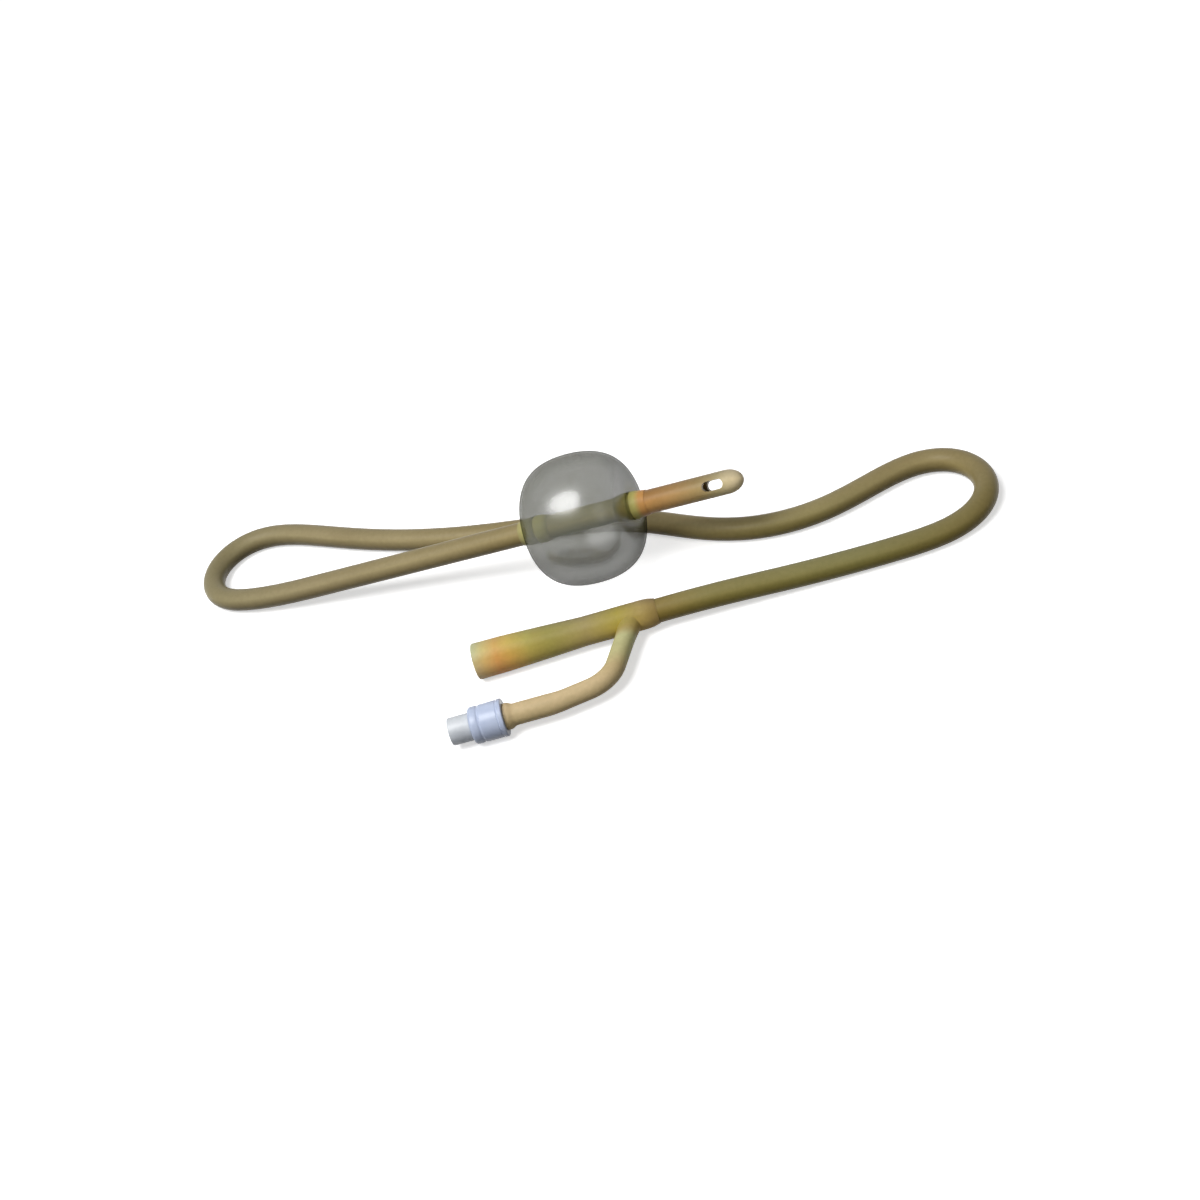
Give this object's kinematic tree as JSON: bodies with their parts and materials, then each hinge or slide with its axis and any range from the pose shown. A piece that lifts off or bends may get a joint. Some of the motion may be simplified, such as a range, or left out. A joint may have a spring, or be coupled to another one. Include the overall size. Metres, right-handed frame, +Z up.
{
  "type": "foley urinary catheter",
  "caption": "Two-way urinary catheter folded on a table: rubber shaft with a drainage eye tip, inflated retention balloon, drainage funnel and a sprung inflation valve.",
  "frame": {"origin": "on the table under the middle of the folded catheter's bounding box", "axes": "+Z up from the table; +X along the drainage funnel, from its mouth towards the shaft; -Y towards the inflation arm"},
  "size_m": [0.1654, 0.0874, 0.0262],
  "materials": {
    "amber_rubber": "satin siliconised latex",
    "orange_rubber": "satin siliconised latex",
    "clear_membrane": "thin translucent latex, wet look",
    "tan_rubber": "satin moulded latex",
    "grey_plastic": "moulded, fine satin",
    "lavender_plastic": "moulded, soft gloss",
    "white_plastic": "moulded",
    "black_rubber": "matt",
    "spring_steel": "drawn wire",
    "natural_plastic": "moulded"
  },
  "bodies": {
    "catheter": {"shaft_tube": "amber_rubber", "drainage_tip": "orange_rubber", "balloon": "clear_membrane", "bifurcation": "tan_rubber", "valve_housing": "grey_plastic", "valve_collar": "lavender_plastic", "valve_spring": "spring_steel", "spring_retainer": "natural_plastic"},
    "valve_stem": {"valve_stem": "white_plastic", "valve_seal": "black_rubber"}
  },
  "joints": [
    {"name": "valve_slide", "type": "slide", "parent": "catheter", "child": "valve_stem", "axis": [1, 0, 0], "range_m": [0, 0.0015], "stiffness_N_per_m": 500, "springref_m": -0.0008, "deforming": ["valve_spring"]}
  ]
}
